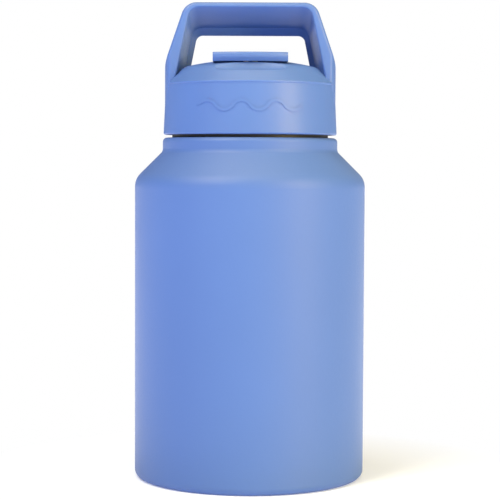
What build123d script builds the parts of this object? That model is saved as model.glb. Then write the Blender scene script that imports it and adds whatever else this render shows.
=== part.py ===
"""Large insulated water jug: vacuum-walled steel body, screw lid with a loop handle, flip-up spout.

Millimetres. The origin is the centre of the foot, on the plane the jug stands on; +Z is up, the
drinking side faces -Y and the spout's hinge runs along X.
"""

from build123d import *
import os
from math import sqrt

# Jug body
BODY_RADIUS = 63.5
NECK_RADIUS = 48.2
LIP_Z = 187.6
SHOULDER_SUM = 228.35  # radius plus height along the 45 degree shoulder
SHOULDER_ROUND = 10.0
NECK_ROUND = 3.0
LIP_ROUND = 2.4
FOOT_ROUND = 4.0
FOOT_INNER_RADIUS = 56.5
FOOT_LIP_RISE = 4.2
SHELL_WALL = 0.8
LIP_SEAM_RADIUS = 45.4

# Steel liner inside the vacuum
LINER_RADIUS = 60.4
LINER_WALL = 0.6
LINER_FLOOR_Z = 8.4
LINER_CORNER = 7.0
MOUTH_RADIUS = 44.2
LINER_NECK_FOOT_Z = 171.0
FOIL_THICKNESS = 0.15
FOIL_TOP_Z = 154.0
FOIL_GAP = 0.05

# Welded bottom
CUP_WALL = 0.8
RECESS_Z = 3.4
DIMPLE_RADIUS = 6.0
DIMPLE_RISE = 1.6
SEAL_RADIUS = 1.6
BASE_PLATE_RADIUS = 48.0
BASE_PLATE_THICKNESS = 0.6
GETTER_X = 24.0

# Neck thread: right-handed, one start
THREAD_PITCH = 4.0
THREAD_TURNS = 1.5
LINER_THREAD_Z = 174.2
LINER_THREAD_CREST = 42.1
PLUG_THREAD_CREST = 43.2
THREAD_OFFSET = 1.6  # how far the plug's thread sits below the liner's
THREAD_ROOT_SINK = 0.3

# Lid
LID_BOTTOM_Z = 189.2
LID_BOTTOM_RADIUS = 47.8
LID_TOP_RADIUS = 46.5
RIM_Z = 217.4
RIM_PROUD = 0.3
RIM_HEIGHT = 0.9
DOME_EDGE_RADIUS = 37.4
DOME_EDGE_Z = 226.1
DOME_TOP_Z = 230.2
DOME_CURVE_RADIUS = 135.0
DOME_ROUND = 8.5
LID_WALL = 2.6
HOLLOW_EDGE_RADIUS = 33.0
HOLLOW_EDGE_Z = 223.8
HOLLOW_ROOF_RADIUS = 20.0
HOLLOW_ROOF_Z = 225.6

# Threaded insert
PLUG_RADIUS = 43.0
PLUG_CORE_RADIUS = 41.2
PLUG_WALL = 2.0
PLUG_BOTTOM_Z = 167.0
PLUG_TOP_Z = 207.0
PLUG_COLLAR_Z = 182.6
GASKET_Z = (183.5, 186.7)
GASKET_GROOVE_RADIUS = 41.4
GASKET_LIP_RADIUS = 44.12
FIT_GAP = 0.05

# Handle loop, moulded with the lid
HANDLE_FRONT_Y = -15.0
HANDLE_BACK_Y = 18.0
HANDLE_TOP_Z = 260.9
HANDLE_TOP_HALF = 35.3
HANDLE_HIP_HALF = 47.0
HANDLE_HIP_Z = 226.8
HANDLE_CORNER = 8.5
HANDLE_HIP_ROUND = 14.0
HANDLE_FRONT_ROUND = 2.0
HANDLE_BACK_ROUND = 3.0
HANDLE_CREST_Y = 1.0
HANDLE_CREST_ROUND = 30.0
HANDLE_BACK_DROP = 5.5
HANDLE_SINK_Z = 206.0
OPENING_FRONT = {"top_z": 258.4, "top_half": 32.8, "spread": 0.21, "corner": 6.0}
OPENING_REAR = {"top_z": 249.1, "top_half": 31.9, "spread": 0.20, "corner": 6.5}
OPENING_LIP = {"top_z": 244.9, "top_half": 29.9, "spread": 0.20, "corner": 4.0}
OPENING_LOW_Z = 208.0
OPENING_REAR_Y = 13.2
OPENING_LIP_Y = 15.6
OPENING_ROUND = 1.0

# Spout
PIVOT_Y = -7.0
PIVOT_Z = 226.0
HUB_RADIUS = 6.0
HUB_HALF_WIDTH = 14.0
KNUCKLE_RADIUS = 5.2
TAB_HALF_WIDTH = 20.2
TAB_TOP_Z = 233.2
TAB_WAIST_Z = 230.9
TAB_BOTTOM_Z = 228.3
TAB_FRONT_Y = -32.8
TAB_REAR_Y = -3.5
TAB_FRONT_CURVE = 55.0
TAB_UNDERCUT = 1.5
NOZZLE_RADIUS = 4.6
NOZZLE_BORE = 3.0
NOZZLE_TIP_Y = -27.6
MOUTHPIECE_REAR_Y = -17.0
MOUTHPIECE_WALL = 1.2
PIN_RADIUS = 1.5
PIN_LENGTH = 9.0
PIN_REACH = 25.0
POCKET_GAP = 0.5
POCKET_LEDGE_GAP = 0.3
GROOVE_FRONT_Y = -28.4
GROOVE_FLOOR_Z = 220.8
WELL_FRONT_Y = -14.2
WELL_REAR_Y = 2.2
WELL_FLOOR_Z = 219.4
SCOOP_HALF = 46.0
SCOOP_RADIUS = 8.2
SCOOP_Y = -37.6
SCOOP_Z = 230.4

# Straw, port and vent
STRAW_Y = -6.5
STRAW_RADIUS = 4.5
STRAW_WALL = 0.9
STRAW_BOTTOM_Z = 12.5
STRAW_TOP_Z = 186.0
SOCKET_RADIUS = 6.6
SOCKET_TOP_Z = 219.0
PORT_RADIUS = 3.0
SEAT_TOP_Z = 221.2
GROMMET_RADIUS = 6.4
GROMMET_TOP_Z = 171.0
PLUG_COVER_Z = 203.0
VENT_X = 15.0
VENT_Y = 0.2
VALVE_STEM_RADIUS = 1.6

# Raised wave on the lid's front
WAVE_Z = 204.6
WAVE_LENGTH = 55.0
WAVE_ARCS = 6
WAVE_HEIGHT = 2.5
WAVE_STROKE = 1.7
WAVE_PROUD = 0.35


def turned(points, radii):
    """Solid of revolution about Z from a closed (radius, height) outline with rounded corners."""
    outline = FilletPolyline(*[(r, 0, z) for r, z in points], radius=radii, close=True)
    return revolve(make_face(outline), axis=Axis.Z)


def ring(inner, outer, low, high):
    """Plain ring, or a disc where inner is 0."""
    middle = Pos(0, 0, (low + high) / 2)
    body = middle * Cylinder(outer, high - low)
    if inner > 0:
        body -= middle * Cylinder(inner, high - low + 2)
    return body


def offset_path(points, distance):
    """The (radius, height) path moved to its left by distance, with mitred corners."""
    normals = []
    for (r0, z0), (r1, z1) in zip(points, points[1:]):
        length = sqrt((r1 - r0) ** 2 + (z1 - z0) ** 2)
        normals.append(((z0 - z1) / length, (r1 - r0) / length))
    moved = []
    for index, (r, z) in enumerate(points):
        before = normals[max(index - 1, 0)]
        after = normals[min(index, len(normals) - 1)]
        scale_up = distance / (1 + before[0] * after[0] + before[1] * after[1])
        moved.append((r + scale_up * (before[0] + after[0]), z + scale_up * (before[1] + after[1])))
    return moved


def turn_sign(points, index):
    """+1 where the path turns left at this point, -1 where it turns right."""
    (r0, z0), (r1, z1), (r2, z2) = points[index - 1:index + 2]
    cross = (r1 - r0) * (z2 - z1) - (z1 - z0) * (r2 - r1)
    return 1 if cross > 0 else -1


def sheet(points, radii, wall):
    """Turned sheet metal: its face follows the path, its wall lies to the path's left."""
    inner = offset_path(points, wall)
    inner_radii = [
        max(radius - wall * turn_sign(points, index + 1), 0.05) for index, radius in enumerate(radii)
    ]
    corners = points + inner[::-1]
    corner_radii = [0] + radii + [0, 0] + inner_radii[::-1] + [0]
    return turned(corners, corner_radii)


def outer_shell():
    shoulder_z = SHOULDER_SUM - BODY_RADIUS
    neck_z = SHOULDER_SUM - NECK_RADIUS
    path = [
        (FOOT_INNER_RADIUS, FOOT_LIP_RISE),
        (FOOT_INNER_RADIUS, 0),
        (BODY_RADIUS, 0),
        (BODY_RADIUS, shoulder_z),
        (NECK_RADIUS, neck_z),
        (NECK_RADIUS, LIP_Z),
        (LIP_SEAM_RADIUS, LIP_Z),
    ]
    radii = [1.6, FOOT_ROUND, SHOULDER_ROUND, NECK_ROUND, LIP_ROUND]
    return sheet(path, radii, SHELL_WALL)


def base_cup():
    """Bottom pressing welded inside the foot, with the dimple that takes the vacuum seal."""
    rim = FOOT_INNER_RADIUS - FIT_GAP
    path = [
        (SEAL_RADIUS, RECESS_Z + DIMPLE_RISE),
        (DIMPLE_RADIUS - DIMPLE_RISE, RECESS_Z + DIMPLE_RISE),
        (DIMPLE_RADIUS, RECESS_Z),
        (rim, RECESS_Z),
    ]
    return sheet(path, [0.5, 0.5], CUP_WALL)


def vacuum_seal():
    """Glass bead that closes the evacuation hole."""
    radius = SEAL_RADIUS - 0.02
    low = RECESS_Z + DIMPLE_RISE - 0.5
    high = low + 1.6
    return turned([(0, low), (radius, low), (radius, high), (0, high)], [0, 0.4, 0.4, 0])


def base_plate():
    """Brushed disc glued into the recess over the seal."""
    low = RECESS_Z - BASE_PLATE_THICKNESS
    radius = BASE_PLATE_RADIUS
    return turned([(0, low), (radius, low), (radius, RECESS_Z), (0, RECESS_Z)], [0, 0.25, 0, 0])


def thread(root_radius, crest_radius, low_z, root_width, crest_width):
    """One-start trapezoid thread on a cylinder of root_radius, rooted a little inside it."""
    sink = THREAD_ROOT_SINK if crest_radius > root_radius else -THREAD_ROOT_SINK
    path = Helix(THREAD_PITCH, THREAD_PITCH * THREAD_TURNS, root_radius, center=(0, 0, low_z))
    profile = Polyline(
        (root_radius - sink, 0, low_z - root_width / 2),
        (crest_radius, 0, low_z - crest_width / 2),
        (crest_radius, 0, low_z + crest_width / 2),
        (root_radius - sink, 0, low_z + root_width / 2),
        close=True,
    )
    return sweep(make_face(profile), path=path, is_frenet=True)


def inner_flask():
    """Polished liner: the path runs down its vacuum side from the lip to the floor."""
    neck = MOUTH_RADIUS + LINER_WALL
    shoulder_z = LINER_NECK_FOOT_Z - (LINER_RADIUS - neck)
    path = [
        (LIP_SEAM_RADIUS, LIP_Z - LINER_WALL),
        (neck, LIP_Z - LINER_WALL),
        (neck, LINER_NECK_FOOT_Z),
        (LINER_RADIUS, shoulder_z),
        (LINER_RADIUS, LINER_FLOOR_Z),
        (0, LINER_FLOOR_Z),
    ]
    inner = offset_path(path, -LINER_WALL)
    radii = [0.1, 2.0, 8.0, LINER_CORNER]
    inner_radii = [0.7, 2.0 + LINER_WALL, 8.0 - LINER_WALL, LINER_CORNER - LINER_WALL]
    wall = turned(path + inner[::-1], [0] + radii + [0, 0] + inner_radii[::-1] + [0])
    return wall + thread(MOUTH_RADIUS, LINER_THREAD_CREST, LINER_THREAD_Z, 2.6, 1.0)


def copper_foil():
    """Radiation foil wrapped round the liner."""
    inner = LINER_RADIUS + FOIL_GAP
    return ring(inner, inner + FOIL_THICKNESS, LINER_FLOOR_Z + LINER_CORNER, FOIL_TOP_Z)


def getter_pill():
    """Gas-absorbing tablet in the vacuum, under the liner's floor."""
    low = RECESS_Z + CUP_WALL + 0.6
    body = turned([(0, low), (4.0, low), (4.0, low + 1.4), (0, low + 1.4)], [0, 0.3, 0.3, 0])
    return Pos(GETTER_X, 0, 0) * body


def getter_holder():
    """Small pressed saucer, spot-welded to the bottom pressing, that holds the tablet."""
    low = RECESS_Z + CUP_WALL
    path = [(0, low), (4.6, low), (4.6, low + 1.8), (6.0, low + 1.8)]
    saucer = sheet(path, [0.6, 0.1], 0.4)
    return Pos(GETTER_X, 0, 0) * saucer


def dome_envelope():
    """Outside of the lid without its handle."""
    rim_radius = LID_TOP_RADIUS + RIM_PROUD
    return turned(
        [
            (0, LID_BOTTOM_Z),
            (LID_BOTTOM_RADIUS, LID_BOTTOM_Z),
            (LID_TOP_RADIUS, RIM_Z - RIM_HEIGHT),
            (rim_radius, RIM_Z - RIM_HEIGHT),
            (rim_radius, RIM_Z),
            (DOME_EDGE_RADIUS, DOME_EDGE_Z),
            (DOME_EDGE_RADIUS / 2, DOME_TOP_Z),
            (0, DOME_TOP_Z),
        ],
        [0, 0.8, 0.15, 0.2, 0.45, DOME_ROUND, DOME_CURVE_RADIUS, 0],
    )


def opening_face(size, depth_y):
    """Handle opening at one depth: a trapezoid, wider below, with rounded upper corners."""
    low_half = size["top_half"] + size["spread"] * (size["top_z"] - OPENING_LOW_Z)
    return make_face(
        FilletPolyline(
            (-low_half, depth_y, OPENING_LOW_Z),
            (-size["top_half"], depth_y, size["top_z"]),
            (size["top_half"], depth_y, size["top_z"]),
            (low_half, depth_y, OPENING_LOW_Z),
            radius=[1.0, size["corner"], size["corner"], 1.0],
            close=True,
        )
    )


def handle_opening():
    """Funnel through the loop, wide at the front, then a bevel to a narrower lip at the back."""
    front = opening_face(OPENING_FRONT, HANDLE_FRONT_Y - 0.01)
    rear = opening_face(OPENING_REAR, OPENING_REAR_Y)
    lip = opening_face(OPENING_LIP, OPENING_LIP_Y)
    through = extrude(lip, amount=HANDLE_BACK_Y, dir=(0, 1, 0))
    return loft([front, rear]) + loft([rear, lip]) + through


def edges_on_plane(shape, y, low_z, high_z, half_width):
    """Edges lying in the plane Y = y, above low_z and below high_z, near the middle."""
    found = []
    for edge in shape.edges():
        bounds = edge.bounding_box()
        flat = abs(bounds.min.Y - y) < 0.01 and abs(bounds.max.Y - y) < 0.01
        if flat and low_z < bounds.max.Z < high_z and abs(edge.center().X) < half_width:
            found.append(edge)
    return found


def handle_block():
    """The loop before its opening is cut: front outline, the lid's round and the side outline."""
    front = FilletPolyline(
        (-HANDLE_HIP_HALF, 0, HANDLE_SINK_Z),
        (-HANDLE_HIP_HALF, 0, HANDLE_HIP_Z),
        (-HANDLE_TOP_HALF, 0, HANDLE_TOP_Z),
        (HANDLE_TOP_HALF, 0, HANDLE_TOP_Z),
        (HANDLE_HIP_HALF, 0, HANDLE_HIP_Z),
        (HANDLE_HIP_HALF, 0, HANDLE_SINK_Z),
        radius=[0, HANDLE_HIP_ROUND, HANDLE_CORNER, HANDLE_CORNER, HANDLE_HIP_ROUND, 0],
        close=True,
    )
    block = extrude(make_face(front), amount=60, both=True)
    block &= box(60, (HANDLE_FRONT_Y, HANDLE_BACK_Y), (HANDLE_SINK_Z, HANDLE_TOP_Z + 5))
    block &= ring(0, HANDLE_HIP_HALF, HANDLE_SINK_Z, HANDLE_TOP_Z + 5)
    above_sink = (HANDLE_SINK_Z + 1, HANDLE_TOP_Z + 1, 60)
    block = fillet(edges_on_plane(block, HANDLE_FRONT_Y, *above_sink), HANDLE_FRONT_ROUND)
    block = fillet(edges_on_plane(block, HANDLE_BACK_Y, *above_sink), HANDLE_BACK_ROUND)
    side = FilletPolyline(
        (0, HANDLE_FRONT_Y - 5, HANDLE_SINK_Z - 1),
        (0, HANDLE_FRONT_Y - 5, HANDLE_TOP_Z),
        (0, HANDLE_CREST_Y, HANDLE_TOP_Z),
        (0, HANDLE_BACK_Y, HANDLE_TOP_Z - HANDLE_BACK_DROP),
        (0, HANDLE_BACK_Y, HANDLE_SINK_Z - 1),
        radius=[0, 0, HANDLE_CREST_ROUND, HANDLE_BACK_DROP, 0],
        close=True,
    )
    return block & extrude(make_face(side), amount=60, both=True)


def handle_loop():
    """Loop with its funnel opening, all rims rounded."""
    loop = handle_block() - handle_opening()
    rim = edges_on_plane(loop, HANDLE_FRONT_Y, HANDLE_SINK_Z + 1, HANDLE_TOP_Z, 60)
    loop = fillet(rim, OPENING_ROUND)
    lip = (OPENING_LOW_Z + 4, OPENING_LIP["top_z"] + 0.5, 40)
    return fillet(edges_on_plane(loop, HANDLE_BACK_Y, *lip), OPENING_ROUND)


def wave_mark():
    """Raised wave on the lid's front: alternating arcs of one stroke width."""
    chord = WAVE_LENGTH / WAVE_ARCS
    arc_radius = (chord ** 2 / 4 + WAVE_HEIGHT ** 2) / (2 * WAVE_HEIGHT)
    band = Circle(arc_radius + WAVE_STROKE / 2) - Circle(arc_radius - WAVE_STROKE / 2)
    wave = Sketch()
    for index in range(WAVE_ARCS):
        side = 1 if index % 2 == 0 else -1
        x = (index + 0.5) * chord - WAVE_LENGTH / 2
        centre = Pos(x, side * (WAVE_HEIGHT - arc_radius))
        wave += centre * band & Pos(x, side * arc_radius) * Rectangle(3 * arc_radius, 2 * arc_radius)
    stroke = extrude(Plane.XZ * Pos(0, WAVE_Z) * wave, amount=60)
    height = RIM_Z - RIM_HEIGHT - LID_BOTTOM_Z
    skin = Cone(
        LID_BOTTOM_RADIUS + WAVE_PROUD,
        LID_TOP_RADIUS + WAVE_PROUD,
        height,
        align=(Align.CENTER, Align.CENTER, Align.MIN),
    )
    core = ring(0, PLUG_RADIUS + 2, LID_BOTTOM_Z - 1, RIM_Z + 1)
    return stroke & (Pos(0, 0, LID_BOTTOM_Z) * skin - core)


def finger_scoop():
    """Shallow dish in the chamfer under the tab: a lemon lying along X."""
    arc = ThreePointArc((-SCOOP_HALF, 0, 0), (0, 0, -SCOOP_RADIUS), (SCOOP_HALF, 0, 0))
    closed = make_face(Curve() + arc + Line((SCOOP_HALF, 0, 0), (-SCOOP_HALF, 0, 0)))
    return Pos(0, SCOOP_Y, SCOOP_Z) * revolve(closed, axis=Axis.X)


def box(x_half, y_range, z_range):
    """Block centred on X = 0."""
    y_low, y_high = y_range
    z_low, z_high = z_range
    block = Box(2 * x_half, y_high - y_low, z_high - z_low)
    return Pos(0, (y_low + y_high) / 2, (z_low + z_high) / 2) * block


def tab_outline(grow):
    """Spout cover seen from above, grown all round; its front edge is an arc."""
    front_y = TAB_FRONT_Y - grow
    rear_y = TAB_REAR_Y + grow
    curve_radius = TAB_FRONT_CURVE + grow
    disc = Pos(0, front_y + curve_radius) * Circle(curve_radius)
    strip = Pos(0, (front_y + rear_y) / 2) * Rectangle(2 * (TAB_HALF_WIDTH + grow), rear_y - front_y)
    return disc & strip


def pocket_void():
    """Space in the lid's top for the spout: cover ledge, nozzle groove and hub well."""
    ledge = Pos(0, 0, TAB_BOTTOM_Z - POCKET_LEDGE_GAP) * extrude(tab_outline(POCKET_GAP), amount=20)
    groove = box(NOZZLE_RADIUS + 0.7, (GROOVE_FRONT_Y, PIVOT_Y), (GROOVE_FLOOR_Z, DOME_TOP_Z + 5))
    well = box(TAB_HALF_WIDTH + POCKET_GAP, (WELL_FRONT_Y, WELL_REAR_Y), (WELL_FLOOR_Z, DOME_TOP_Z + 5))
    return ledge + groove + well


def pocket_walls():
    """Solid around the spout pocket, hanging into the lid's hollow."""
    groove = box(NOZZLE_RADIUS + 2.7, (GROOVE_FRONT_Y - 2, PIVOT_Y), (GROOVE_FLOOR_Z - 1.8, DOME_TOP_Z))
    well = box(
        PIN_REACH + 1.0, (WELL_FRONT_Y - 2, WELL_REAR_Y + 2), (WELL_FLOOR_Z - 1.8, DOME_TOP_Z)
    )
    return groove + well


def lid_hollow():
    """Inside of the lid: skirt, bore for the insert and the space under the roof."""
    bore = PLUG_RADIUS + FIT_GAP
    return turned(
        [
            (0, LID_BOTTOM_Z - 2),
            (LID_BOTTOM_RADIUS - LID_WALL, LID_BOTTOM_Z - 2),
            (LID_BOTTOM_RADIUS - LID_WALL, LID_BOTTOM_Z + 3),
            (bore, LID_BOTTOM_Z + 3),
            (bore, PLUG_TOP_Z + 0.2),
            (bore - 1.6, PLUG_TOP_Z + 0.2),
            (bore - 1.6, RIM_Z - 4),
            (HOLLOW_EDGE_RADIUS, HOLLOW_EDGE_Z),
            (HOLLOW_ROOF_RADIUS, HOLLOW_ROOF_Z),
            (0, HOLLOW_ROOF_Z),
        ],
        [0, 0, 0.5, 0.5, 0, 0, 2.0, 6.0, 6.0, 0],
    )


def pivot_holes(radius):
    """Cutter for the two hinge pins."""
    cutters = Part()
    for side in (-1, 1):
        middle = side * (PIN_REACH - PIN_LENGTH / 2)
        cutters += Pos(middle, PIVOT_Y, PIVOT_Z) * Rot(0, 90, 0) * Cylinder(radius, PIN_LENGTH)
    return cutters


def lid_cap():
    """Lid moulding: skirt, dome, spout pocket and the loop handle in one piece."""
    body = dome_envelope() + handle_loop()
    body -= lid_hollow() - pocket_walls()
    body -= pocket_void()
    body -= finger_scoop()
    body -= pivot_holes(PIN_RADIUS)
    body -= Pos(0, STRAW_Y, 0) * ring(0, SOCKET_RADIUS + FIT_GAP, WELL_FLOOR_Z - 5, WELL_FLOOR_Z + 1)
    body -= Pos(VENT_X, VENT_Y, 0) * ring(0, 1.2, WELL_FLOOR_Z - 5, WELL_FLOOR_Z + 1)
    return body + wave_mark()


def lid_plug():
    """Black insert: threaded cup with the straw socket standing in it."""
    inner = PLUG_CORE_RADIUS - PLUG_WALL
    groove_low, groove_high = GASKET_Z
    shell = turned(
        [
            (0, PLUG_BOTTOM_Z),
            (PLUG_CORE_RADIUS, PLUG_BOTTOM_Z),
            (PLUG_CORE_RADIUS, PLUG_COLLAR_Z),
            (PLUG_RADIUS, PLUG_COLLAR_Z),
            (PLUG_RADIUS, groove_low),
            (GASKET_GROOVE_RADIUS, groove_low),
            (GASKET_GROOVE_RADIUS, groove_high),
            (PLUG_RADIUS, groove_high),
            (PLUG_RADIUS, PLUG_TOP_Z),
            (inner, PLUG_TOP_Z),
            (inner, PLUG_BOTTOM_Z + PLUG_WALL),
            (0, PLUG_BOTTOM_Z + PLUG_WALL),
        ],
        [0, 1.5, 0.3, 0.2, 0.15, 0.2, 0.2, 0.15, 0.4, 0.4, 1.0, 0],
    )
    shell += thread(PLUG_CORE_RADIUS, PLUG_THREAD_CREST, LINER_THREAD_Z - THREAD_OFFSET, 2.4, 0.9)
    boss = ring(0, GROMMET_RADIUS + 2.0, PLUG_BOTTOM_Z, GROMMET_TOP_Z + 2.0)
    shell += Pos(0, STRAW_Y, 0) * (boss + ring(0, SOCKET_RADIUS, PLUG_BOTTOM_Z, SOCKET_TOP_Z))
    shell += Pos(VENT_X, VENT_Y, 0) * ring(0, 3.2, PLUG_BOTTOM_Z, PLUG_COVER_Z)
    straw_hole = ring(0, STRAW_RADIUS + FIT_GAP, PLUG_BOTTOM_Z - 1, STRAW_TOP_Z + 0.1)
    flow = ring(0, PORT_RADIUS, STRAW_TOP_Z, SOCKET_TOP_Z + 1)
    grommet_seat = ring(0, GROMMET_RADIUS, PLUG_BOTTOM_Z - 1, GROMMET_TOP_Z)
    shell -= Pos(0, STRAW_Y, 0) * (straw_hole + flow + grommet_seat)
    vent = ring(0, VALVE_STEM_RADIUS, PLUG_BOTTOM_Z - 1, PLUG_COVER_Z + 1)
    return shell - Pos(VENT_X, VENT_Y, 0) * vent


def plug_cover():
    """Disc that closes the insert's top over the foam."""
    body = ring(0, PLUG_CORE_RADIUS - PLUG_WALL - FIT_GAP, PLUG_COVER_Z, PLUG_COVER_Z + 1.8)
    around = (PLUG_COVER_Z - 1, PLUG_COVER_Z + 3)
    body -= Pos(0, STRAW_Y, 0) * ring(0, SOCKET_RADIUS + FIT_GAP, *around)
    return body - Pos(VENT_X, VENT_Y, 0) * ring(0, VALVE_STEM_RADIUS, *around)


def plug_foam():
    """Insulation filling the insert round the socket."""
    low = PLUG_BOTTOM_Z + PLUG_WALL
    outer = PLUG_CORE_RADIUS - PLUG_WALL - 0.1
    body = turned([(0, low), (outer, low), (outer, PLUG_COVER_Z), (0, PLUG_COVER_Z)], [0, 1.2, 0, 0])
    body -= Pos(0, STRAW_Y, 0) * ring(0, GROMMET_RADIUS + 2.1, low - 1, PLUG_COVER_Z + 1)
    return body - Pos(VENT_X, VENT_Y, 0) * ring(0, 3.3, low - 1, PLUG_COVER_Z + 1)


def lid_gasket():
    """Silicone ring in the insert's groove, with two lips against the mouth."""
    low, high = GASKET_Z
    inner = GASKET_GROOVE_RADIUS + FIT_GAP
    middle = (low + high) / 2
    waist = GASKET_LIP_RADIUS - 0.9
    return turned(
        [
            (inner, low + 0.05),
            (waist, low + 0.05),
            (GASKET_LIP_RADIUS, low + 0.45),
            (GASKET_LIP_RADIUS, middle - 0.5),
            (waist, middle),
            (GASKET_LIP_RADIUS, middle + 0.5),
            (GASKET_LIP_RADIUS, high - 0.45),
            (waist, high - 0.05),
            (inner, high - 0.05),
        ],
        [0.2, 0.1, 0.3, 0.3, 0.3, 0.3, 0.3, 0.1, 0.2],
    )


def straw_grommet():
    """Silicone ring that seals the straw in the insert's floor."""
    inner = STRAW_RADIUS + 0.02
    outer = GROMMET_RADIUS - 0.02
    low = PLUG_BOTTOM_Z - 0.8
    body = turned(
        [
            (inner, low),
            (outer + 1.4, low),
            (outer + 1.4, PLUG_BOTTOM_Z - 0.02),
            (outer, PLUG_BOTTOM_Z - 0.02),
            (outer, GROMMET_TOP_Z - 0.05),
            (inner, GROMMET_TOP_Z - 0.05),
        ],
        [0.2, 0.3, 0.1, 0.05, 0.3, 0.2],
    )
    return Pos(0, STRAW_Y, 0) * body


def straw():
    """Clear tube, cut at a slant below so that it never seals on the floor."""
    body = ring(STRAW_RADIUS - STRAW_WALL, STRAW_RADIUS, STRAW_BOTTOM_Z, STRAW_TOP_Z)
    wedge = Pos(0, 0, STRAW_BOTTOM_Z + 1.6) * Rot(20, 0, 0)
    wedge *= Box(20, 20, 8, align=(Align.CENTER, Align.CENTER, Align.MAX))
    return Pos(0, STRAW_Y, 0) * (body - wedge)


def vent_valve():
    """Silicone umbrella valve that lets air in as the jug is drunk from."""
    low = PLUG_BOTTOM_Z - 0.9
    stem = VALVE_STEM_RADIUS - 0.5
    body = turned(
        [
            (0, low - 0.5),
            (1.5, low - 0.5),
            (5.0, PLUG_BOTTOM_Z - 0.45),
            (5.0, PLUG_BOTTOM_Z - 0.02),
            (stem, PLUG_BOTTOM_Z - 0.02),
            (stem, PLUG_BOTTOM_Z + 6),
            (0, PLUG_BOTTOM_Z + 6),
        ],
        [0, 1.0, 0.15, 0.1, 0.2, 0.4, 0],
    )
    return Pos(VENT_X, VENT_Y, 0) * body


def port_seal():
    """Silicone saddle between the straw socket and the spout's hub."""
    hub_clear = Pos(0, PIVOT_Y, PIVOT_Z) * Rot(0, 90, 0) * Cylinder(HUB_RADIUS + 0.03, 60)
    body = ring(PORT_RADIUS, SOCKET_RADIUS - 0.3, SOCKET_TOP_Z, PIVOT_Z - 3)
    body = Pos(0, STRAW_Y, 0) * body
    return body - hub_clear - box(30, (-40, 40), (SEAT_TOP_Z, 240))


def pivot_pins():
    """Two steel pins, fixed in the lid, that the spout turns on."""
    return pivot_holes(PIN_RADIUS)


def hub_cylinder(radius, x_half):
    """Cylinder on the hinge axis."""
    return Pos(0, PIVOT_Y, PIVOT_Z) * Rot(0, 90, 0) * Cylinder(radius, 2 * x_half)


def nozzle_cylinder(radius, y_from, y_to):
    """Cylinder on the nozzle's axis at rest."""
    middle = (y_from + y_to) / 2
    return Pos(0, middle, PIVOT_Z) * Rot(90, 0, 0) * Cylinder(radius, abs(y_to - y_from))


def spout_barrel():
    """Hub and nozzle in one tube: its bore meets the straw port only when the spout is up."""
    body = hub_cylinder(HUB_RADIUS, HUB_HALF_WIDTH)
    body += nozzle_cylinder(NOZZLE_RADIUS, MOUTHPIECE_REAR_Y, PIVOT_Y)
    body += nozzle_cylinder(NOZZLE_RADIUS - MOUTHPIECE_WALL, NOZZLE_TIP_Y + 1.0, PIVOT_Y)
    return body - nozzle_cylinder(NOZZLE_BORE - 0.6, NOZZLE_TIP_Y - 5, PIVOT_Y + HUB_RADIUS + 1)


def mouthpiece():
    """Soft sleeve over the nozzle, with a rolled lip."""
    sleeve_inner = NOZZLE_RADIUS - MOUTHPIECE_WALL
    outline = FilletPolyline(
        (NOZZLE_BORE - 0.6, NOZZLE_TIP_Y),
        (NOZZLE_RADIUS, NOZZLE_TIP_Y),
        (NOZZLE_RADIUS, NOZZLE_TIP_Y + 2.2),
        (NOZZLE_RADIUS - 0.4, NOZZLE_TIP_Y + 3.0),
        (NOZZLE_RADIUS - 0.2, MOUTHPIECE_REAR_Y),
        (sleeve_inner, MOUTHPIECE_REAR_Y),
        (sleeve_inner, NOZZLE_TIP_Y + 1.0),
        (NOZZLE_BORE - 0.6, NOZZLE_TIP_Y + 1.0),
        radius=[0.3, 0.9, 0.6, 0.6, 0.2, 0, 0, 0],
        close=True,
    )
    sleeve = revolve(make_face(outline), axis=Axis.Y)
    return Pos(0, 0, PIVOT_Z) * sleeve


def cover_plate():
    """Wide tab: a slice of a disc whose rounded rim gives the convex front."""
    disc = turned(
        [
            (0, TAB_BOTTOM_Z),
            (TAB_FRONT_CURVE - TAB_UNDERCUT, TAB_BOTTOM_Z),
            (TAB_FRONT_CURVE, TAB_WAIST_Z),
            (TAB_FRONT_CURVE - 0.3, TAB_TOP_Z),
            (0, TAB_TOP_Z),
        ],
        [0, 0.2, 3.0, 1.2, 0],
    )
    slice_box = box(TAB_HALF_WIDTH, (TAB_FRONT_Y - 1, TAB_REAR_Y), (TAB_BOTTOM_Z - 1, TAB_TOP_Z + 1))
    return Pos(0, TAB_FRONT_Y + TAB_FRONT_CURVE, 0) * disc & slice_box


def spout_cover():
    """Tab over the nozzle, with knuckles on the hinge pins."""
    gap = hub_cylinder(KNUCKLE_RADIUS + 1, HUB_HALF_WIDTH + 0.1)
    body = cover_plate() + (hub_cylinder(KNUCKLE_RADIUS, TAB_HALF_WIDTH) - gap)
    body -= hub_cylinder(HUB_RADIUS + FIT_GAP, HUB_HALF_WIDTH + 0.1)
    body -= nozzle_cylinder(NOZZLE_RADIUS + FIT_GAP, NOZZLE_TIP_Y - 0.4, PIVOT_Y)
    return body - pivot_holes(PIN_RADIUS + FIT_GAP)


PARTS = {
    "outer_shell": outer_shell,
    "base_cup": base_cup,
    "vacuum_seal": vacuum_seal,
    "base_plate": base_plate,
    "inner_flask": inner_flask,
    "copper_foil": copper_foil,
    "getter_pill": getter_pill,
    "getter_holder": getter_holder,
    "lid_cap": lid_cap,
    "lid_plug": lid_plug,
    "plug_cover": plug_cover,
    "plug_foam": plug_foam,
    "lid_gasket": lid_gasket,
    "straw_grommet": straw_grommet,
    "straw": straw,
    "vent_valve": vent_valve,
    "port_seal": port_seal,
    "pivot_pins": pivot_pins,
    "spout_barrel": spout_barrel,
    "mouthpiece": mouthpiece,
    "spout_cover": spout_cover,
}

if __name__ == "__main__":
    os.makedirs("parts", exist_ok=True)
    for name, make in PARTS.items():
        export_step(make(), f"parts/{name}.step")
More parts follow.
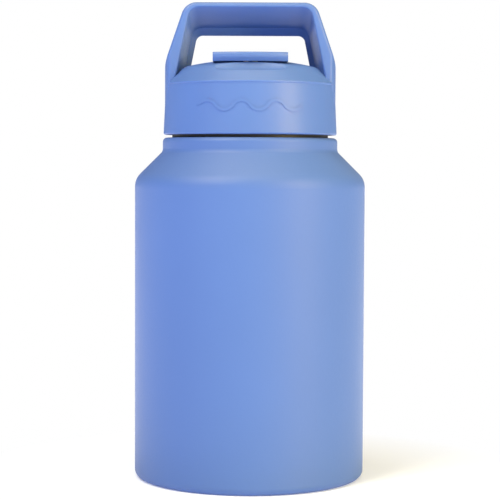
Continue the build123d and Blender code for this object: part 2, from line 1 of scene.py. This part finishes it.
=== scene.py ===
"""Look of the insulated water jug: materials, floor, light and camera."""

import math

import bpy
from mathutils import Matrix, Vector

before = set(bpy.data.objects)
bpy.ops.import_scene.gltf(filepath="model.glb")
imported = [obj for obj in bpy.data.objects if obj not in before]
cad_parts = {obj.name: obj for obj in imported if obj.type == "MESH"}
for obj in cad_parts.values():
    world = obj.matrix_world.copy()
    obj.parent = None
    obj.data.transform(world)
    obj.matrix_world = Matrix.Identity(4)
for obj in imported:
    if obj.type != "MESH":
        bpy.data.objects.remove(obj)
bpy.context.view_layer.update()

# Colours are linear RGB.
COAT_BLUE = (0.059, 0.134, 0.440)
LID_BLUE = (0.066, 0.144, 0.455)
BLACK_PLASTIC = (0.010, 0.010, 0.012)
STEEL = (0.60, 0.59, 0.57)
COPPER = (0.80, 0.42, 0.26)
SILICONE = (0.70, 0.74, 0.80)
STRAW = (0.82, 0.86, 0.90)
FOAM = (0.85, 0.83, 0.76)
BLACK_SILICONE = (0.015, 0.015, 0.017)
TABLET = (0.06, 0.06, 0.065)
SEAL_GLASS = (0.2, 0.26, 0.24)

# Noise values between these two carry a material's drift in colour and roughness.
NOISE_LOW = 0.3
NOISE_HIGH = 0.7

# World strength that lights the object, on its left and on its right.
GLOW_LEFT = 0.62
GLOW_RIGHT = 0.66

WARM = (1.0, 0.74, 0.26)
SOFT_WARM = (1.0, 0.86, 0.60)
COOL = (0.86, 0.93, 1.0)

# Softboxes all aim at AIM_HEIGHT metres on the jug's axis. Each has an azimuth (0 in front, + to
# the right) and an elevation in degrees, a distance and a size in metres, a power in watts, a colour.
AIM_HEIGHT = 0.14
SOFTBOXES = {
    "key_right": (52, 20, 1.6, (0.45, 1.3), 37.0, WARM),
    "fill_left": (-42, 48, 1.6, (0.6, 0.9), 29.0, SOFT_WARM),
    "top": (0, 82, 1.5, (1.2, 1.2), 16.0, SOFT_WARM),
    "front": (14, 5, 1.9, (0.9, 0.45), 3.0, COOL),
}

# Floor: shaded out to FLOOR_NEAR metres from the jug's axis, plain white from FLOOR_FAR on.
FLOOR_RADIUS = 6.0
FLOOR_NEAR = 0.075
FLOOR_FAR = 0.16
FLOOR_COLOR = (0.70, 0.78, 0.97)
FLOOR_GLOW_COLOR = (0.84, 0.90, 1.0)
FLOOR_GLOW = 0.26
FLOOR_SHINE = 2.1  # strength of the white floor as a light on the object

# Metres, millimetres of focal length and degrees.
CAMERA_DISTANCE = 0.920
CAMERA_HEIGHT = 0.177
CAMERA_LENS = 119.5
CAMERA_PITCH = 3.20
CAMERA_ROLL = -0.24
CAMERA_CLIP = 0.01


class Nodes:
    """Small helper that adds and links shader nodes in one material."""

    def __init__(self, name):
        self.material = bpy.data.materials.new(name)
        self.material.use_nodes = True
        self.tree = self.material.node_tree
        self.shader = self.tree.nodes["Principled BSDF"]

    def add(self, kind, **values):
        """New node; each value is set on the input of that name, or else on the node itself."""
        node = self.tree.nodes.new(kind)
        for key, value in values.items():
            if key in node.inputs:
                node.inputs[key].default_value = value
            else:
                setattr(node, key, value)
        return node

    def link(self, source, output, target, target_input):
        self.tree.links.new(source.outputs[output], target.inputs[target_input])

    def map_range(self, from_low, from_high, to_low, to_high):
        """Node that maps one range of values to another."""
        node = self.add("ShaderNodeMapRange")
        node.inputs["From Min"].default_value = from_low
        node.inputs["From Max"].default_value = from_high
        node.inputs["To Min"].default_value = to_low
        node.inputs["To Max"].default_value = to_high
        return node

    def noise(self, scale, detail=2.0, roughness=0.5, stretch=None):
        """Noise over the object's own metres; scale is in cells a metre."""
        where = self.add("ShaderNodeTexCoord")
        noise = self.add("ShaderNodeTexNoise", Scale=scale, Detail=detail, Roughness=roughness)
        if stretch is None:
            self.link(where, "Object", noise, "Vector")
        else:
            mapping = self.add("ShaderNodeMapping", Scale=stretch)
            self.link(where, "Object", mapping, "Vector")
            self.link(mapping, "Vector", noise, "Vector")
        return noise

    def bump(self, layers, strength):
        """Chained bumps from (texture node, output, depth in metres) layers."""
        last = None
        for source, output, depth in layers:
            node = self.add("ShaderNodeBump", Strength=strength, Distance=depth)
            self.link(source, output, node, "Height")
            if last is not None:
                self.link(last, "Normal", node, "Normal")
            last = node
        self.link(last, "Normal", self.shader, "Normal")

    def tint(self, color, source, output, spread):
        """Base colour that drifts by +-spread with a noise."""
        ramp = self.add("ShaderNodeValToRGB")
        low, high = ramp.color_ramp.elements
        low.position = NOISE_LOW
        high.position = NOISE_HIGH
        low.color = (*[c * (1 - spread) for c in color], 1)
        high.color = (*[min(c * (1 + spread), 1) for c in color], 1)
        self.link(source, output, ramp, "Fac")
        self.link(ramp, "Color", self.shader, "Base Color")

    def rough(self, source, output, low, high):
        """Roughness between low and high, from a noise."""
        spread = self.map_range(NOISE_LOW, NOISE_HIGH, low, high)
        self.link(source, output, spread, "Value")
        self.link(spread, "Result", self.shader, "Roughness")

    def set(self, **values):
        """Sets the shader's own inputs; an underscore stands for a space."""
        for key, value in values.items():
            self.shader.inputs[key.replace("_", " ")].default_value = value


def powder_coat():
    """Matte powder coat: fine pebble grain over a slow orange-peel wave."""
    m = Nodes("powder_coat")
    pebble = m.noise(2600, detail=3.0, roughness=0.6)
    peel = m.noise(420, detail=1.0)
    drift = m.noise(14, detail=2.0)
    m.tint(COAT_BLUE, drift, "Fac", 0.025)
    m.rough(pebble, "Fac", 0.46, 0.62)
    m.bump([(peel, "Fac", 0.00006), (pebble, "Fac", 0.00005)], strength=0.55)
    m.set(Specular_IOR_Level=0.42, Sheen_Weight=0.06, Sheen_Roughness=0.5)
    return m.material


def moulded_plastic(name, color, rough_low, rough_high, grain=0.00003):
    """Moulded polypropylene with a spark-eroded grain."""
    m = Nodes(name)
    grain_noise = m.noise(3800, detail=2.0, roughness=0.65)
    flow = m.noise(55, detail=2.0, stretch=(1, 1, 0.5))
    m.tint(color, flow, "Fac", 0.02)
    m.rough(grain_noise, "Fac", rough_low, rough_high)
    m.bump([(flow, "Fac", 0.00005), (grain_noise, "Fac", grain)], strength=0.5)
    m.set(Specular_IOR_Level=0.45, Subsurface_Weight=0.04, Subsurface_Scale=0.002)
    return m.material


def metal(name, color, rough_low, rough_high, stretch, scale=900):
    """Steel or copper with a directional brushed grain."""
    m = Nodes(name)
    brushed = m.noise(scale, detail=3.0, roughness=0.6, stretch=stretch)
    smudge = m.noise(30, detail=2.0)
    m.tint(color, smudge, "Fac", 0.04)
    m.rough(brushed, "Fac", rough_low, rough_high)
    m.bump([(brushed, "Fac", 0.00002)], strength=0.4)
    m.set(Metallic=1.0)
    return m.material


def silicone(name, color, clear):
    """Soft silicone, a little translucent."""
    m = Nodes(name)
    dust = m.noise(1500, detail=2.0)
    haze = m.noise(160, detail=1.0)
    m.tint(color, haze, "Fac", 0.03)
    m.rough(dust, "Fac", 0.34, 0.5)
    m.bump([(dust, "Fac", 0.00002)], strength=0.4)
    m.set(Transmission_Weight=clear, IOR=1.41, Subsurface_Weight=0.25, Subsurface_Scale=0.003)
    return m.material


def foam():
    """Open-celled insulating foam."""
    m = Nodes("foam")
    cells = m.add("ShaderNodeTexVoronoi", Scale=1600.0)
    m.link(m.add("ShaderNodeTexCoord"), "Object", cells, "Vector")
    m.tint(FOAM, cells, "Distance", 0.06)
    m.bump([(cells, "Distance", 0.0002)], strength=0.7)
    m.set(Roughness=0.9)
    return m.material


def straw_plastic():
    """Translucent tube with extrusion streaks along it."""
    m = Nodes("straw_plastic")
    streak = m.noise(300, detail=2.0, stretch=(1, 1, 0.05))
    m.tint(STRAW, streak, "Fac", 0.03)
    m.rough(streak, "Fac", 0.14, 0.28)
    m.bump([(streak, "Fac", 0.00003)], strength=0.3)
    m.set(Transmission_Weight=0.75, IOR=1.49)
    return m.material


def dress_nodes():
    """Gives every CAD node its material."""
    coat = powder_coat()
    lid = moulded_plastic("lid_plastic", LID_BLUE, 0.40, 0.54)
    black = moulded_plastic("black_plastic", BLACK_PLASTIC, 0.42, 0.6)
    spun = metal("spun_steel", STEEL, 0.22, 0.36, (1, 1, 14))
    polished = metal("polished_steel", STEEL, 0.12, 0.22, (1, 1, 6))
    pin_steel = metal("pin_steel", STEEL, 0.15, 0.25, (12, 1, 1))
    copper = metal("copper_foil", COPPER, 0.2, 0.4, (1, 1, 0.1), scale=500)
    clear = silicone("clear_silicone", SILICONE, 0.35)
    dark = silicone("black_silicone", BLACK_SILICONE, 0.0)
    tablet = moulded_plastic("getter_tablet", TABLET, 0.8, 0.95, grain=0.0001)
    bead = silicone("seal_glass", SEAL_GLASS, 0.6)
    choice = {
        "outer_shell": coat,
        "base_cup": spun,
        "base_plate": spun,
        "vacuum_seal": bead,
        "inner_flask": polished,
        "copper_foil": copper,
        "getter_pill": tablet,
        "getter_holder": spun,
        "lid_cap": lid,
        "lid_plug": black,
        "plug_cover": black,
        "plug_foam": foam(),
        "lid_gasket": dark,
        "straw_grommet": clear,
        "straw": straw_plastic(),
        "vent_valve": clear,
        "port_seal": clear,
        "pivot_pins": pin_steel,
        "spout_barrel": lid,
        "mouthpiece": clear,
        "spout_cover": lid,
    }
    for name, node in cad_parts.items():
        node.data.materials.clear()
        node.data.materials.append(choice[name])
        for polygon in node.data.polygons:
            polygon.material_index = 0


def floor_material():
    """Shaded floor near the jug that fades to plain white, which also lights the jug from below."""
    m = Nodes("studio_floor")
    m.set(Emission_Color=(*FLOOR_GLOW_COLOR, 1), Emission_Strength=FLOOR_GLOW)
    m.set(Base_Color=(*FLOOR_COLOR, 1), Roughness=0.9, Specular_IOR_Level=0.0)
    where = m.add("ShaderNodeNewGeometry")
    reach = m.add("ShaderNodeVectorMath", operation="LENGTH")
    fade = m.map_range(FLOOR_NEAR, FLOOR_FAR, 0, 1)
    seen = m.add("ShaderNodeLightPath")
    shine = m.map_range(0, 1, FLOOR_SHINE, 1)
    white = m.add("ShaderNodeEmission")
    blend = m.add("ShaderNodeMixShader")
    m.link(seen, "Is Camera Ray", shine, "Value")
    m.link(shine, "Result", white, "Strength")
    m.link(where, "Position", reach, "Vector")
    m.link(reach, "Value", fade, "Value")
    m.link(fade, "Result", blend, "Fac")
    m.link(m.shader, "BSDF", blend, 1)
    m.link(white, "Emission", blend, 2)
    m.link(blend, "Shader", m.tree.nodes["Material Output"], "Surface")
    return m.material


def studio_floor():
    """Wide disc under the jug."""
    bpy.ops.mesh.primitive_circle_add(vertices=96, radius=FLOOR_RADIUS, fill_type="NGON")
    floor = bpy.context.object
    floor.name = "studio_floor"
    floor.data.materials.append(floor_material())


def softbox(name, azimuth, elevation, distance, size, power, color):
    """Area light aimed at the jug and unseen by the camera."""
    data = bpy.data.lights.new(name, "AREA")
    data.shape = "RECTANGLE"
    data.size, data.size_y = size
    data.energy = power
    data.color = color
    light = bpy.data.objects.new(name, data)
    bpy.context.scene.collection.objects.link(light)
    turn, rise = math.radians(azimuth), math.radians(elevation)
    away = Vector((math.sin(turn) * math.cos(rise), -math.cos(turn) * math.cos(rise), math.sin(rise)))
    target = Vector((0, 0, AIM_HEIGHT))
    light.location = target + away * distance
    light.rotation_euler = (-away).to_track_quat("-Z", "Y").to_euler()
    light.visible_camera = False


def studio_world():
    """White backdrop for the camera; all else sees a dimmer glow, a little stronger on the right."""
    world = bpy.data.worlds.new("studio")
    bpy.context.scene.world = world
    world.use_nodes = True
    tree = world.node_tree
    glow = tree.nodes["Background"]
    white = tree.nodes.new("ShaderNodeBackground")
    white.inputs["Color"].default_value = (1, 1, 1, 1)
    path = tree.nodes.new("ShaderNodeLightPath")
    choose = tree.nodes.new("ShaderNodeMixShader")
    tree.links.new(path.outputs["Is Camera Ray"], choose.inputs[0])
    tree.links.new(glow.outputs[0], choose.inputs[1])
    tree.links.new(white.outputs[0], choose.inputs[2])
    tree.links.new(choose.outputs[0], tree.nodes["World Output"].inputs["Surface"])
    where = tree.nodes.new("ShaderNodeTexCoord")
    split = tree.nodes.new("ShaderNodeSeparateXYZ")
    level = tree.nodes.new("ShaderNodeMapRange")
    level.inputs["From Min"].default_value = -1
    level.inputs["From Max"].default_value = 1
    level.inputs["To Min"].default_value = GLOW_LEFT
    level.inputs["To Max"].default_value = GLOW_RIGHT
    tree.links.new(where.outputs["Generated"], split.inputs[0])
    tree.links.new(split.outputs["X"], level.inputs["Value"])
    tree.links.new(level.outputs["Result"], glow.inputs["Strength"])


def studio_light():
    """World, softboxes and the plain view transform."""
    studio_world()
    for name, settings in SOFTBOXES.items():
        softbox(name, *settings)
    bpy.context.scene.view_settings.view_transform = "Standard"


def studio_camera():
    """Camera in front of the jug, at about the height of its shoulder, tipped slightly down."""
    data = bpy.data.cameras.new("camera")
    data.lens = CAMERA_LENS
    data.clip_start = CAMERA_CLIP
    camera = bpy.data.objects.new("camera", data)
    bpy.context.scene.collection.objects.link(camera)
    camera.location = (0, -CAMERA_DISTANCE, CAMERA_HEIGHT)
    camera.rotation_euler = (math.radians(90 - CAMERA_PITCH), math.radians(CAMERA_ROLL), 0)
    bpy.context.scene.camera = camera


dress_nodes()
studio_floor()
studio_light()
studio_camera()
